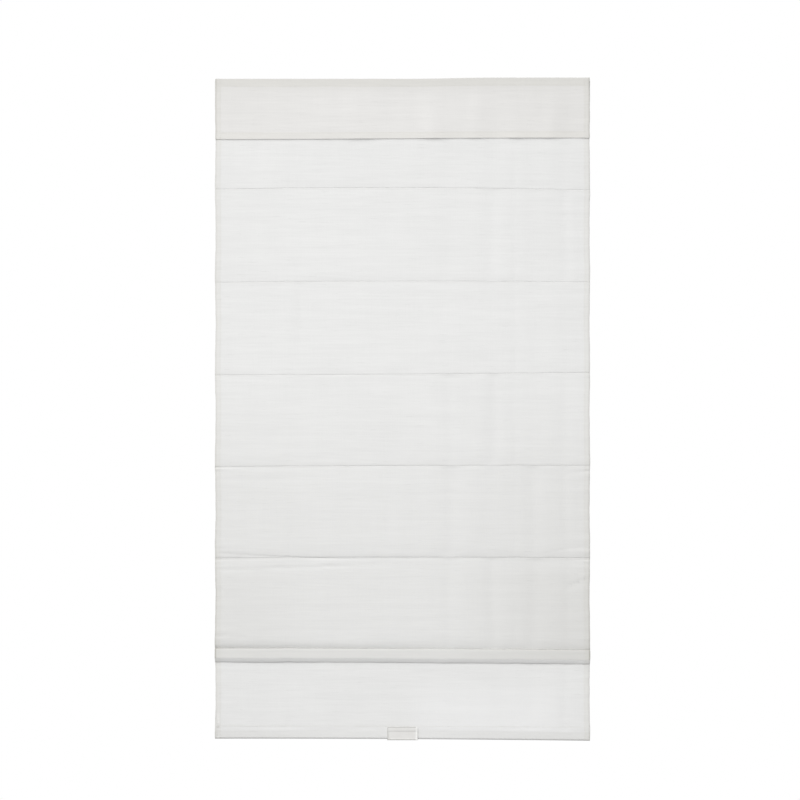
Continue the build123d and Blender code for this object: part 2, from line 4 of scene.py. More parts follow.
import bpy
import numpy as np
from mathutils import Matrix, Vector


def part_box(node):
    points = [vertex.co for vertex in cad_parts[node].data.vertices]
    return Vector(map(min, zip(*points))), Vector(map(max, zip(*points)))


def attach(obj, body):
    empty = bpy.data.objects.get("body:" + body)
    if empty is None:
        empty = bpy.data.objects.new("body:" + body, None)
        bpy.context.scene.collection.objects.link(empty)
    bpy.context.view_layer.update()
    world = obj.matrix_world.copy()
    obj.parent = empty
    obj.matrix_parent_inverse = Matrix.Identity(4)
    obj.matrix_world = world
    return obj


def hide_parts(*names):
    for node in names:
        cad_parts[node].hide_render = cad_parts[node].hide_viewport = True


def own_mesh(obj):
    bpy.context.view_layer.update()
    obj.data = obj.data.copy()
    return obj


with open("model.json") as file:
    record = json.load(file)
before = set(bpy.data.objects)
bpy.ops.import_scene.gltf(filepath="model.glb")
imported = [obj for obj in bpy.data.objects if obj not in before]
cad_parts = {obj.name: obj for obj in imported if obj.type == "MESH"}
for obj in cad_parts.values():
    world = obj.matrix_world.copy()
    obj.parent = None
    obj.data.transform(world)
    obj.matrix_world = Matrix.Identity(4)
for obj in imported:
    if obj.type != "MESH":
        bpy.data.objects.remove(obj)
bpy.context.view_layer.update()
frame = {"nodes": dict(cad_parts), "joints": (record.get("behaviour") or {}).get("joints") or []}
nodes = frame["nodes"]


# The studio. The camera stands level in front of the blind, as for the photograph, where 1 pixel
# is 2.457 mm at the cloth. The floor is pale, the air round it is white and the light is soft.
pixel = 0.002457
photo_pixels = 800
blind_middle_px = (402.5, 409.3)
blind_top_px = 78.5
camera_distance = 5.0
sensor_width = 36.0
panel_low, panel_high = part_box("fabric_panel")


def photo_x(column):
    """Pixels right of the blind's middle column, times the size of one pixel."""
    return (column - blind_middle_px[0]) * pixel


def photo_z(row):
    """Pixels below the blind's top row, times the size of one pixel, downwards from zero."""
    return (blind_top_px - row) * pixel


def placed(name, data):
    """A new object with that data, in the scene."""
    made = bpy.data.objects.new(name, data)
    bpy.context.scene.collection.objects.link(made)
    return made


camera_data = bpy.data.cameras.new("studio_camera")
camera_data.sensor_width = sensor_width
camera_data.lens = sensor_width * camera_distance / (photo_pixels * pixel)
camera = placed("studio_camera", camera_data)
camera.location = (photo_x(photo_pixels / 2), panel_low.y - camera_distance, photo_z(photo_pixels / 2))
camera.rotation_euler = (math.radians(90), 0, 0)
bpy.context.scene.camera = camera
bpy.context.scene.view_settings.view_transform = "Standard"


class Shade:
    """A socket in a node tree. Arithmetic on it adds Math nodes, and any other node comes from node()."""

    def __init__(self, tree, socket=None):
        self.tree = tree
        self.socket = socket

    def node(self, kind, settings=None, sockets=None, output=0):
        """Adds a node, applies its settings, gives its sockets values or links, and returns one output."""
        made = self.tree.nodes.new(kind)
        for name, value in (settings or {}).items():
            setattr(made, name, value)
        for name, value in (sockets or {}).items():
            if isinstance(value, Shade):
                self.tree.links.new(value.socket, made.inputs[name])
            else:
                made.inputs[name].default_value = value
        return Shade(self.tree, made.outputs[output])

    def maths(self, operation, *values):
        """A Math node of that operation on the values."""
        return self.node("ShaderNodeMath", {"operation": operation}, dict(enumerate(values)))

    def __add__(self, other):
        return self.maths("ADD", self, other)

    def __sub__(self, other):
        return self.maths("SUBTRACT", self, other)

    def __rsub__(self, other):
        return self.maths("SUBTRACT", other, self)

    def __mul__(self, other):
        return self.maths("MULTIPLY", self, other)

    __radd__ = __add__
    __rmul__ = __mul__

    def rise(self, low, high):
        """Goes smoothly from 0 to 1 as this value goes from low to high."""
        settings = {"interpolation_type": "SMOOTHSTEP"}
        return self.node("ShaderNodeMapRange", settings, {"Value": self, "From Min": low, "From Max": high})

    def between(self, low, high, fade_in, fade_out):
        """Is 1 between low and high and 0 outside, with a smooth fade inside each end."""
        return self.rise(low, low + fade_in) * (1 - self.rise(high - fade_out, high))

    def mix(self, first, second):
        """Blends two colours, with this value as the share of the second."""
        return self.node("ShaderNodeMix", {"data_type": "RGBA"}, {0: self, 6: first, 7: second}, output=2)

    def noise(self, detail, across, up, deep=1.0):
        """Soft noise from 0 to 1, at these coordinates times a number on each axis."""
        scales = (across, up, deep)
        place = self.node("ShaderNodeVectorMath", {"operation": "MULTIPLY"}, {0: self, 1: scales})
        return self.node("ShaderNodeTexNoise", None, {"Vector": place, "Scale": 1.0, "Detail": detail})

    def bump(self, distance, strength):
        """The normal of a surface with this value as its height."""
        sockets = {"Height": self, "Distance": distance, "Strength": strength}
        return self.node("ShaderNodeBump", None, sockets)

    def into(self, node, name):
        """Links this value to a node's socket of that name."""
        self.tree.links.new(self.socket, node.inputs[name])


def seen_directly(start):
    """The largest of Light Path's camera, glossy and transmission rays, as one value of 0 or 1."""
    seen = start.node("ShaderNodeLightPath", output="Is Camera Ray")
    for ray in ("Is Glossy Ray", "Is Transmission Ray"):
        seen = seen.maths("MAXIMUM", seen, start.node("ShaderNodeLightPath", output=ray))
    return seen


def new_material(name, constants):
    """A Principled material: the material, its shader and a start for its shader maths."""
    made = bpy.data.materials.new(name)
    made.use_nodes = True
    shader = made.node_tree.nodes["Principled BSDF"]
    for socket, value in constants.items():
        shader.inputs[socket].default_value = value
    return made, shader, Shade(made.node_tree)


air_light = 0.40
white = (1, 1, 1, 1)
world = bpy.data.worlds.new("studio_air")
world.use_nodes = True
bpy.context.scene.world = world
air = Shade(world.node_tree)
strength = seen_directly(air) * (1 - air_light) + air_light
strength.into(world.node_tree.nodes["Background"], "Strength")
world.node_tree.nodes["Background"].inputs["Color"].default_value = white

floor_height = -2.05
floor_size = (3.6, 2.2)
floor_lift = 0.72
floor_mesh = bpy.data.meshes.new("studio_floor")
half_x, half_y = floor_size[0] / 2, floor_size[1] / 2
floor_corners = [(-half_x, -half_y), (half_x, -half_y), (half_x, half_y), (-half_x, half_y)]
floor_mesh.from_pydata([(x, y, floor_height) for x, y in floor_corners], [], [(0, 1, 2, 3)])
floor = placed("studio_floor", floor_mesh)
floor_look = {"Base Color": (0.40, 0.40, 0.40, 1), "Roughness": 0.9, "Specular IOR Level": 0.1}
floor_look["Emission Color"] = white
floor_paint, floor_shader, start = new_material("floor_paint", floor_look)
(seen_directly(start) * floor_lift).into(floor_shader, "Emission Strength")
floor_mesh.materials.append(floor_paint)


def aimed(name, kind, place, settings):
    """A lamp at a place, turned to the blind's middle: its turn is the direction's two polar angles."""
    data = bpy.data.lights.new(name, kind)
    for setting, value in settings.items():
        setattr(data, setting, value)
    made = placed(name, data)
    made.location = place
    across, deep, up = np.subtract((0, 0, photo_z(blind_middle_px[1])), place)
    from_below = math.atan2(math.hypot(across, deep), -up)
    made.rotation_euler = (from_below, 0, math.atan2(deep, across) - math.pi / 2)


aimed("key_light", "SUN", (-3.1, -4.9, 4.2), {"energy": 2.15, "angle": math.radians(55)})
aimed("near_soft_box", "AREA", (-0.33, -2.0, -0.30), {"energy": 7.2, "size": 0.9})
aimed("back_soft_box", "AREA", (0.8, 3.9, 0.2), {"energy": 108, "size": 4.4})


# The cloth: one slub weave for the panel and the valance, polyester with a linen look, off-white.
# Thick uneven threads run across it. Where it lies double, less light comes through, so it is greyer.
cloth_thickness = 0.0008
thread_pitch = 0.0009
hem_width = 0.015
cloth_give = 0.0030
half_width = panel_high.x + cloth_give
thin_tone, thick_tone = 0.93, 1.035
# The next two colours are painted light and painted shade: a white that bands of painted light mix the
# cloth towards, and a grey that painted shade mixes it towards.
painted_light_white = (0.92, 0.92, 0.92, 1)
shade_grey = (0.49, 0.48, 0.44, 1)
hem_tone = 0.9
# How much painted shade darkens the cloth towards each side edge, over its outer 22 mm.
painted_side_shade = 0.045


def toned(colour, share):
    """A colour's three parts times a share, with an alpha of 1."""
    return (*(part * share for part in colour), 1)


def slub_cloth(name, colour, doubled_colour, edge_shade, double_bands, painted_shade_bands, painted_light_bands=()):
    """The weave on the cloth's own UV map, in metres: across it and along it. Slubs are noise drawn out
    17 to 1 across the cloth. The threads are a sine wave each way, multiplied, with the product's hollows
    turned up at 0.7 of their depth. Each band starts and ends at two lengths down the cloth. A band of
    painted shade adds the lengths of its fades, and its share of grey at the left, in the middle, at the
    right and on the outermost 4 mm. A band of painted light adds its fades, its start, full width and end
    across, and a share of white. edge_shade is painted shade on the outermost 6 mm of both sides."""
    made, shader, start = new_material(name, {"Roughness": 0.92, "Specular IOR Level": 0.22})
    weave = start.node("ShaderNodeUVMap", {"uv_map": "weave"})
    sides = start.node("ShaderNodeSeparateXYZ", None, {0: weave})
    along = start.node("ShaderNodeSeparateXYZ", None, {0: weave}, output=1)
    slubs = weave.noise(3.0, 13, 225)
    long_slubs = weave.noise(1.0, 3.4, 70)
    warp_slubs = weave.noise(1.0, 420, 9)
    clouds = weave.noise(2.0, 7, 9)
    knots = weave.noise(0.0, 34, 400).rise(0.72, 0.82)
    turns = 2 * math.pi / thread_pitch
    wobble = slubs * 3.0
    warp = start.maths("SINE", sides * turns + wobble)
    weft = start.maths("SINE", along * turns)
    threads = start.maths("MAXIMUM", warp * weft, warp * weft * -0.7)
    shade = (slubs - 0.5) * 1.4 + (long_slubs - 0.5) * 1.0 + (warp_slubs - 0.5) * 0.45
    shade = shade + (clouds - 0.5) * 0.65 - knots * 0.6 + threads * 0.06
    tone = shade.maths("MULTIPLY_ADD", shade, 0.5, 0.5)
    side = start.maths("ABSOLUTE", sides)
    hem_start = half_width - hem_width
    doubled = side.rise(hem_start - 0.001, hem_start + 0.004) * hem_tone
    for first, last in double_bands:
        doubled = doubled.maths("MAXIMUM", doubled, along.between(first, last, 0.001, 0.001))
    single = tone.mix(toned(colour, thin_tone), toned(colour, thick_tone))
    folded = tone.mix(toned(doubled_colour, thin_tone), toned(doubled_colour, thick_tone))
    shaded = doubled.mix(single, folded)
    # Bands of painted light: the cloth is mixed towards white there.
    for first, last, fade_in, fade_out, from_x, full_x, to_x, share in painted_light_bands:
        band = along.between(first, last, fade_in, fade_out)
        band = band * sides.between(from_x, to_x, full_x - from_x, 0.12)
        shaded = (band * share).mix(shaded, painted_light_white)
    ends = side.rise(half_width - 0.0045, half_width - 0.0005)
    leftwards = 1 - sides.rise(-half_width, -0.10)
    rightwards = sides.rise(0.05, half_width)
    # Painted shade near the side edges: faint over the outer 22 mm and stronger, by edge_shade, over the
    # outer 6 mm.
    grey = side.rise(half_width - 0.022, half_width - 0.003) * painted_side_shade
    grey = grey + side.rise(half_width - 0.0060, half_width - 0.0010) * edge_shade
    # Bands of painted shade down the cloth, each with its share at the left, middle, right and outermost 4
    # mm.
    for first, last, fade_in, fade_out, left, middle, right, at_ends in painted_shade_bands:
        band = along.between(first, last, fade_in, fade_out)
        across = leftwards * (left - middle) + rightwards * (right - middle) + ends * at_ends + middle
        grey = grey + band * across
    grey.mix(shaded, shade_grey).into(shader, "Base Color")
    height = slubs * 0.9 + long_slubs * 0.5 + warp_slubs * 0.25 + threads * 0.22 + knots * 0.7
    height.bump(0.00018, 0.8).into(shader, "Normal")
    return made


# The sewing thread: twisted polyester, 0.36 mm thick, off-white. Each stitch is a short arch of thread
# that comes out of the cloth and goes back in, 3 mm long, with one every 3.6 mm.
stitch_length = 0.0030
stitch_pitch = 0.0036
stitch_height = 0.00028
thread_radius = 0.00018
thread_end = 0.35
sewing_thread, thread_shader, start = new_material(
    "sewing_thread", {"Base Color": (0.78, 0.77, 0.73, 1), "Roughness": 0.6}
)
place = start.node("ShaderNodeTexCoord", output="Object")
ply = place.noise(1.0, 2600, 2600, 2600)
ply.mix((0.70, 0.69, 0.65, 1), (0.82, 0.81, 0.77, 1)).into(thread_shader, "Base Color")
ply.bump(0.0001, 0.6).into(thread_shader, "Normal")


def stitch_arches(middles, along, out):
    """One arch for each middle point. Its line is a straight stitch plus half a sine wave outwards. Its
    section is a ring of 5 points, whose radius grows from a third to full and back as half a sine wave."""
    rings, sides = 6, 5
    share = np.linspace(0, 1, rings)
    angle = np.arange(sides) * 2 * np.pi / sides
    across = np.cross(along, out)
    line = middles[:, None] + along[:, None] * ((share - 0.5) * stitch_length)[:, None]
    line = line + out[:, None] * (np.sin(np.pi * share) * stitch_height)[:, None]
    radius = thread_radius * (thread_end + (1 - thread_end) * np.sin(np.pi * share))
    ring = across[:, None] * np.cos(angle)[:, None] + out[:, None] * np.sin(angle)[:, None]
    points = line[:, :, None] + ring[:, None] * radius[:, None, None]
    first = np.arange((rings - 1) * sides).reshape(-1, sides)
    second = np.roll(first, -1, 1)
    quads = np.stack([first, first + sides, second + sides, second], -1).reshape(-1, 4)
    ends = np.array([[0, 1, 2, 3], [0, 3, 4, 4]])
    last = (rings - 1) * sides
    faces = np.concatenate([quads, ends, last + ends[:, ::-1]])
    offsets = np.arange(len(middles))[:, None, None] * rings * sides
    return points.reshape(-1, 3), (faces + offsets).reshape(-1, 4)


def fill_mesh(name, parts):
    """Joins parts into one mesh piece. A part is points, faces of 4, a UV pair for each point, a normal
    for each face corner or None, and its material. A face with its last corner twice is a triangle."""
    points = np.concatenate([part[0] for part in parts])
    firsts = np.cumsum([0] + [len(part[0]) for part in parts[:-1]])
    faces = np.concatenate([part[1] + first for part, first in zip(parts, firsts)])
    uv = np.concatenate([part[2] for part in parts])
    slots = np.concatenate([np.full(len(part[1]), n) for n, part in enumerate(parts)])
    keep = np.ones(faces.shape, bool)
    keep[:, 3] = faces[:, 3] != faces[:, 2]
    keep[:, 0] = faces[:, 0] != faces[:, 1]
    corners = faces[keep]
    counts = keep.sum(1)
    mesh = bpy.data.meshes.new(name)
    mesh.vertices.add(len(points))
    mesh.vertices.foreach_set("co", points.astype(np.float32).ravel())
    mesh.loops.add(len(corners))
    mesh.loops.foreach_set("vertex_index", corners.astype(np.int32))
    mesh.polygons.add(len(faces))
    mesh.polygons.foreach_set("loop_start", (np.cumsum(counts) - counts).astype(np.int32))
    mesh.polygons.foreach_set("use_smooth", np.ones(len(faces), bool))
    mesh.polygons.foreach_set("material_index", slots.astype(np.int32))
    for part in parts:
        mesh.materials.append(part[4])
    layer = mesh.uv_layers.new(name="weave")
    layer.data.foreach_set("uv", uv[corners].astype(np.float32).ravel())
    mesh.update(calc_edges=True)
    given = [part[3] if part[3] is not None else np.zeros((len(part[1]), 4, 3)) for part in parts]
    normals = np.concatenate(given)[keep]
    mesh.normals_split_custom_set(normals.astype(np.float32))
    mesh.validate()
    return placed(name, mesh)


# The folding of a sheet: the panel and the valance are each one long strip, carried down a folded path
# in side view, with both sides turned back and sewn as hems. Rows follow the path and columns the width.
column_step = 0.0042
row_step = 0.0046
arc_step = 0.0007
least_arc_points = 4
crowding = 0.8
hem_fold_radius = 0.00045
hem_stitch_inset = 0.0125
stitch_column_gap = 0.0012


def unit(vectors):
    """Each vector over its own length."""
    return vectors / np.linalg.norm(vectors, axis=-1, keepdims=True)


def rounded_path(corners, radii, step):
    """Straight runs joined by tangent arcs, as points. A corner of turn a and radius r is cut back by
    r tan(a/2) on both runs. Points crowd towards a run's ends: share t less 0.8 sin(2 pi t) / 2 pi."""
    corners = np.asarray(corners, float)
    line = [corners[:1]]
    for before, corner, after, radius in zip(corners, corners[1:], corners[2:], radii):
        into, out = unit(corner - before), unit(after - corner)
        turn = math.acos(np.clip(into @ out, -1, 1))
        inward = unit(out - into * (into @ out))
        centre = corner - into * radius * math.tan(turn / 2) + inward * radius
        count = max(least_arc_points, math.ceil(radius * turn / arc_step))
        angles = np.linspace(0, turn, count)[:, None]
        line.append(centre + radius * (into * np.sin(angles) - inward * np.cos(angles)))
    points = np.concatenate(line + [corners[-1:]])
    runs = np.linalg.norm(np.diff(points, axis=0), axis=1)
    points = points[np.append(True, runs > 1e-7)]
    filled = []
    for start_point, end_point in zip(points[:-1], points[1:]):
        count = max(1, round(np.linalg.norm(end_point - start_point) / step))
        share = np.arange(count) / count
        share = share - crowding * np.sin(2 * np.pi * share) / (2 * np.pi)
        filled.append(start_point + (end_point - start_point) * share[:, None])
    return np.concatenate(filled + [points[-1:]])


def width_profile():
    """The sheet's section across the blind, as x, depth behind the sheet, and its distance round from
    the middle: straight, with a half turn at each side and 15 mm turned back."""
    back = 2 * hem_fold_radius
    corners = [(half_width - hem_width, back), (half_width, back), (half_width, 0), (0.0, 0)]
    right = rounded_path(corners, [hem_fold_radius - 1e-6] * 2, column_step)[::-1]
    near_stitches = half_width - hem_stitch_inset + stitch_column_gap * np.array([-1, 0, 1])
    flat = np.abs(right[:, 1]) < 1e-9
    regular = np.arange(0, half_width - 2 * hem_fold_radius, column_step)
    columns = np.unique(np.concatenate([regular, near_stitches, [right[flat, 0].max()]]).round(7))
    right = np.concatenate([np.stack([columns, 0 * columns], 1), right[~flat]])
    round_it = np.append(0, np.cumsum(np.linalg.norm(np.diff(right, axis=0), axis=1)))
    x = np.concatenate([-right[:0:-1, 0], right[:, 0]])
    depth = np.concatenate([right[:0:-1, 1], right[:, 1]])
    return x, depth, np.concatenate([-round_it[:0:-1], round_it])


class Sheet:
    """A hemmed sheet on a folded path. place(x, rows) gives the displaced middle line. The sheet's normal
    is across times along, and a face lies half the thickness out from the middle on each side."""

    def __init__(self, path, place):
        self.length = np.append(0, np.cumsum(np.linalg.norm(np.diff(path, axis=0), axis=1)))
        x, depth, self.across = width_profile()
        step = 1e-4
        middle = place(x, path)
        beside = place(x + step, path)
        down = unit(np.gradient(middle, self.length, axis=0))
        sideways = unit(beside - middle)
        out = unit(np.cross(down, sideways))
        turn = unit(np.stack([np.gradient(x, self.across), np.gradient(depth, self.across)], 1))
        self.middle = middle - out * depth[:, None]
        self.out = unit(out * turn[:, :1] + sideways * turn[:, 1:])
        self.down = down
        self.path = path

    def cut(self, first, last, material):
        """Rows first to last as one closed part: front, back and the four edges."""
        middle, out = self.middle[first : last + 1], self.out[first : last + 1]
        rows, columns = middle.shape[:2]
        index = np.arange(rows * columns).reshape(rows, columns)
        ring = np.concatenate([index[:-1, 0], index[-1, :-1], index[:0:-1, -1], index[0, :0:-1]])
        quads = np.stack([index[:-1, :-1], index[1:, :-1], index[1:, 1:], index[:-1, 1:]], -1)
        quads = quads.reshape(-1, 4)
        following = np.roll(ring, -1)
        behind = rows * columns
        edges = np.stack([ring, ring + behind, following + behind, following], -1)
        faces = np.concatenate([quads, quads[:, ::-1] + behind, edges])
        middle, out = middle.reshape(-1, 3), out.reshape(-1, 3)
        aside = out * cloth_thickness / 2
        points = np.concatenate([middle + aside, middle - aside])
        corner_points = points[edges]
        diagonals = corner_points[:, 2:] - corner_points[:, :2]
        edge_out = unit(np.cross(diagonals[:, 0], diagonals[:, 1]))
        edge_normals = np.repeat(edge_out[:, None], 4, axis=1)
        normals = np.concatenate([out[quads], -out[quads[:, ::-1]], edge_normals])
        across, along = np.meshgrid(self.across, self.length[first : last + 1])
        uv = np.tile(np.stack([across.ravel(), along.ravel()], 1), (2, 1))
        return points, faces, uv, normals, material

    def on_sheet(self, x, length):
        """Middle points, outward and downward directions at places given by x and length down the path,
        each from the four nearest of the grid, weighed by nearness."""
        row = np.clip(np.searchsorted(self.length, length) - 1, 0, len(self.length) - 2)
        share = (length - self.length[row]) / (self.length[row + 1] - self.length[row])
        column = np.clip(np.searchsorted(self.across, x) - 1, 0, len(self.across) - 2)
        side = (x - self.across[column]) / (self.across[column + 1] - self.across[column])
        share, side = share[:, None], side[:, None]
        found = []
        for field in (self.middle, self.out, self.down):
            upper = field[row, column] * (1 - side) + field[row, column + 1] * side
            lower = field[row + 1, column] * (1 - side) + field[row + 1, column + 1] * side
            found.append(upper * (1 - share) + lower * share)
        return found[0], unit(found[1]), unit(found[2])

    def stitch_row(self, x, length, upright, depths=(1, -1)):
        """Stitches on the front and the back of the sheet, each lying on the cloth's face."""
        middle, out, down = self.on_sheet(x, length)
        along = down if upright else unit(np.cross(down, out))
        points, faces = [], []
        for side in depths:
            behind = 0 if side > 0 else side * 2 * hem_fold_radius
            lifted = middle + out * (behind + side * cloth_thickness / 2)
            made, quads = stitch_arches(lifted, along * side, out * side)
            faces.append(quads + sum(len(p) for p in points))
            points.append(made)
        points = np.concatenate(points)
        return points, np.concatenate(faces), np.zeros((len(points), 2)), None, sewing_thread


def side_hem_stitches(sheet, first, last):
    """Two upright rows, one in each side hem, between two rows of the sheet."""
    length = np.arange(sheet.length[first] + stitch_pitch / 2, sheet.length[last], stitch_pitch)
    inset = half_width - hem_stitch_inset
    x = np.concatenate([np.full(len(length), -inset), np.full(len(length), inset)])
    return sheet.stitch_row(x, np.tile(length, 2), upright=True)


def cross_stitches(sheet, length, depths=(1, -1)):
    """One row of stitches across the sheet at a distance down its path."""
    reach = half_width - hem_width / 2
    x = np.arange(-reach, reach, stitch_pitch)
    return sheet.stitch_row(x, np.full(len(x), length), upright=False, depths=depths)


def ripples(along, across, wavelengths, seed):
    """The mean of one cosine for each wavelength, each with a phase of its own that sways as a sine of
    the distance across: an uneven ripple between -1 and 1."""
    total = 0
    for n, wavelength in enumerate(wavelengths):
        phase = seed * 2.399 + n * 1.618
        total = total + np.cos(2 * np.pi * along / wavelength + phase + 1.3 * np.sin(across * 3.1 + phase))
    return total / len(wavelengths)


def bell(distance, width):
    """One at no distance, falling as a bell curve: exp(-(d/w) squared)."""
    return np.exp(-((distance / width) ** 2))


def crease(x, z, start_point, end_point, width):
    """A pressed line from one point to another that fades at both ends. Across it the cloth turns in as
    exp(-d/w) from above and comes out again five times as steeply below."""
    start_point, end_point = np.asarray(start_point), np.asarray(end_point)
    run = end_point - start_point
    share = ((x - start_point[0]) * run[0] + (z - start_point[1]) * run[1]) / (run @ run)
    off_line = ((x - start_point[0]) * run[1] - (z - start_point[1]) * run[0]) / np.linalg.norm(run)
    fade = np.clip(share * 8 + 0.5, 0, 1) * np.clip((1 - share) * 3, 0, 1)
    above = off_line * np.sign(run[0])
    return np.exp(-np.where(above > 0, above, -5 * above) / width) * fade


def smooth_step(value):
    """Three times the value's square less twice its cube, from 0 to 1."""
    value = np.clip(value, 0, 1)
    return value * value * (3 - 2 * value)


# The panel: one sheet from under the valance to the round of the bottom rail. At each rib it is pinched
# into a rod pocket behind, and under the lowest rib a tuck of 33 mm is left hanging as a pleat.
seam_count = 6
rib_names = [f"rib_{n + 1}" for n in range(seam_count)]
rib_boxes = [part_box(name) for name in rib_names]
seams = np.array([(low.z + high.z) / 2 for low, high in rib_boxes])
rib_y = (rib_boxes[0][0].y + rib_boxes[0][1].y) / 2
rib_radius = (rib_boxes[0][1].z - rib_boxes[0][0].z) / 2
rod_slack = 0.0003
ply_gap = 0.0002
pocket_half = rib_radius + rod_slack + cloth_thickness / 2
pocket_front = rib_y - pocket_half
panel_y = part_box("loop_tape")[0].y - cloth_thickness / 2
neck_half = 0.00045
rail_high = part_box("bottom_rail")[1]
hem_back = rail_high.y + rod_slack + cloth_thickness / 2
hem_bottom = panel_low.z + cloth_thickness / 2
rail_top = rail_high.z
flap_bend_height = 0.007
flap_height = 0.0108
pleat_drop = 0.033
pleat_inner = panel_y - cloth_thickness - ply_gap
pleat_outer_top = pleat_inner - 0.0040
pleat_outer = pleat_inner - 0.0058
pleat_toe = pleat_inner - 0.0009
shelf_start = 0.0003
shelf_dip = 0.00002
pleat_underside = 0.0098
pleat_gap = 0.0026
pocket_bends = [0.00043, 0.00042, 0.0020, 0.0031, 0.0031, 0.0020, 0.00042, 0.00041]
pleat_bends = [0.0001, 0.0012, 0.0060, 0.0005, 0.0003, 0.00049]
hem_bends = [0.00049, 0.00469, 0.00469, 0.0015, 0.0015]
headrail_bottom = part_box("headrail")[0].z
valance_low, valance_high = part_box("valance")


def panel_path():
    """The panel's middle line in side view, as y and z, from its top edge to the flap behind the rail.
    The pleat starts as a shelf forward of the lowest seam, which dips a hair where it leaves the panel."""
    corners = [(panel_y, panel_high.z)]
    radii = []
    for seam in seams:
        corners += [
            (panel_y, seam + neck_half),
            (pocket_front, seam + neck_half),
            (pocket_front, seam + pocket_half),
            (rib_y + pocket_half, seam + pocket_half),
            (rib_y + pocket_half, seam - pocket_half),
            (pocket_front, seam - pocket_half),
            (pocket_front, seam - neck_half),
            (panel_y, seam - neck_half),
        ]
        radii += pocket_bends
    lowest = seams[-1]
    pleat_bottom = lowest - pleat_drop + cloth_thickness / 2
    corners[-1] = (panel_y - shelf_start, lowest - neck_half - shelf_dip)
    corners += [
        (pleat_outer_top, lowest - neck_half),
        (pleat_outer, pleat_bottom + pleat_underside),
        (pleat_toe, pleat_bottom),
        (pleat_inner, pleat_bottom),
        (pleat_inner, lowest - pleat_gap),
        (panel_y, lowest - pleat_gap),
        (panel_y, hem_bottom),
        (hem_back, hem_bottom),
        (hem_back, rail_top),
        (panel_y + cloth_thickness, rail_top + flap_bend_height),
        (panel_y + cloth_thickness, rail_top + flap_height),
    ]
    return rounded_path(corners, radii[:-1] + pleat_bends + hem_bends, row_step)


# How the seams sag between the rings: the height of each at the left edge, the middle and the right
# edge, in the photograph's rows. The cloth follows them near the seam, and the rib behind is straight.
seam_rows_px = [
    (188.6, 187.0, 189.4),
    (281.9, 280.6, 281.6),
    (374.4, 373.7, 372.0),
    (466.3, 465.3, 465.0),
    (557.9, 557.0, 557.7),
    (647.9, 648.3, 649.7),
]
sag_reach = 0.013
sag_plateau = 0.002
seam_centre_px = 0.6
lift_line = 0.280
ring_peak = 0.0009
ring_reach = 0.016


def seam_sag(x):
    """How far each seam's line lies above its rib: the parabola through three heights, with a small peak
    at each lift line, where the rings hold it."""
    across = np.array([-half_width, 0, half_width])
    lines = []
    for rows, seam in zip(seam_rows_px, seams):
        offsets = [photo_z(row + seam_centre_px) - seam for row in rows]
        line = np.polyval(np.polyfit(across, offsets, 2), x)
        lines.append(line + ring_peak * bell(np.abs(x) - lift_line, ring_reach))
    return np.array(lines)


# How each section hangs, top to bottom, in millimetres: how far it stands out at its head and at its
# foot, and over what height it turns in at each.
hang_mm = (
    (0.3, 0.1, 0.1, 0.1, 0.2, 0.1, 0.4),
    (0.5, 0.8, 0.7, 1.4, 2.4, 6.4, 0.3),
    (5.0, 5.0, 5.0, 5.0, 5.0, 6.0, 5.0),
    (4.0, 5.0, 4.0, 6.0, 6.5, 7.5, 3.0),
)
head_stand, foot_stand, head_turn, foot_turn = np.array(hang_mm) / 1000
sixth = 5
sixth_flatter = 0.10
sixth_flatter_right = 0.24

# Upright furrows where the cloth hangs back: the photograph's column, the width and the depth in
# metres, and how strong each is in the seven sections.
furrows = (
    (450, 0.020, 0.0013, (0.5, 0.6, 0.1, 1.0, 1.3, 0.9, 0.1)),
    (493, 0.018, 0.0012, (0.2, 0.8, 0.1, 1.1, 0.5, 1.8, 0.2)),
    (534, 0.022, 0.0013, (0.5, 0.3, 0.4, 0.2, 1.5, 1.6, 0.5)),
    (566, 0.014, 0.0009, (0.3, 1.2, 0.3, 0.6, 1.3, 0.8, 1.0)),
    (300, 0.014, 0.0006, (0.2, 0.2, 1.5, 0.3, 0.3, 0.4, 0.2)),
    (386, 0.012, 0.0004, (0.6, 0.6, 0.4, 0.5, 0.5, 0.5, 0.2)),
    (276, 0.060, 0.0012, (0.0, 0.0, 0.0, 0.0, 0.0, 0.1, 1.2)),
)

# Creases from folding and handling: both ends as the photograph's column and row, then the width and
# the depth in metres.
creases = (
    ((214, 552.3), (372, 558.5), 0.0030, 0.0010),
    ((214, 569.5), (392, 563.5), 0.0038, 0.0014),
    ((214, 590.0), (240, 593.0), 0.0026, 0.0013),
    ((592, 575.5), (560, 590.5), 0.0070, 0.0009),
    ((214, 577.0), (236, 578.0), 0.0026, 0.0010),
    ((217, 712.0), (221, 756.0), 0.0034, 0.0012),
    ((590, 470.0), (556, 476.0), 0.0030, 0.0005),
    ((590, 545.0), (540, 553.0), 0.0034, 0.0006),
    ((214, 634.0), (262, 639.0), 0.0034, 0.0008),
)


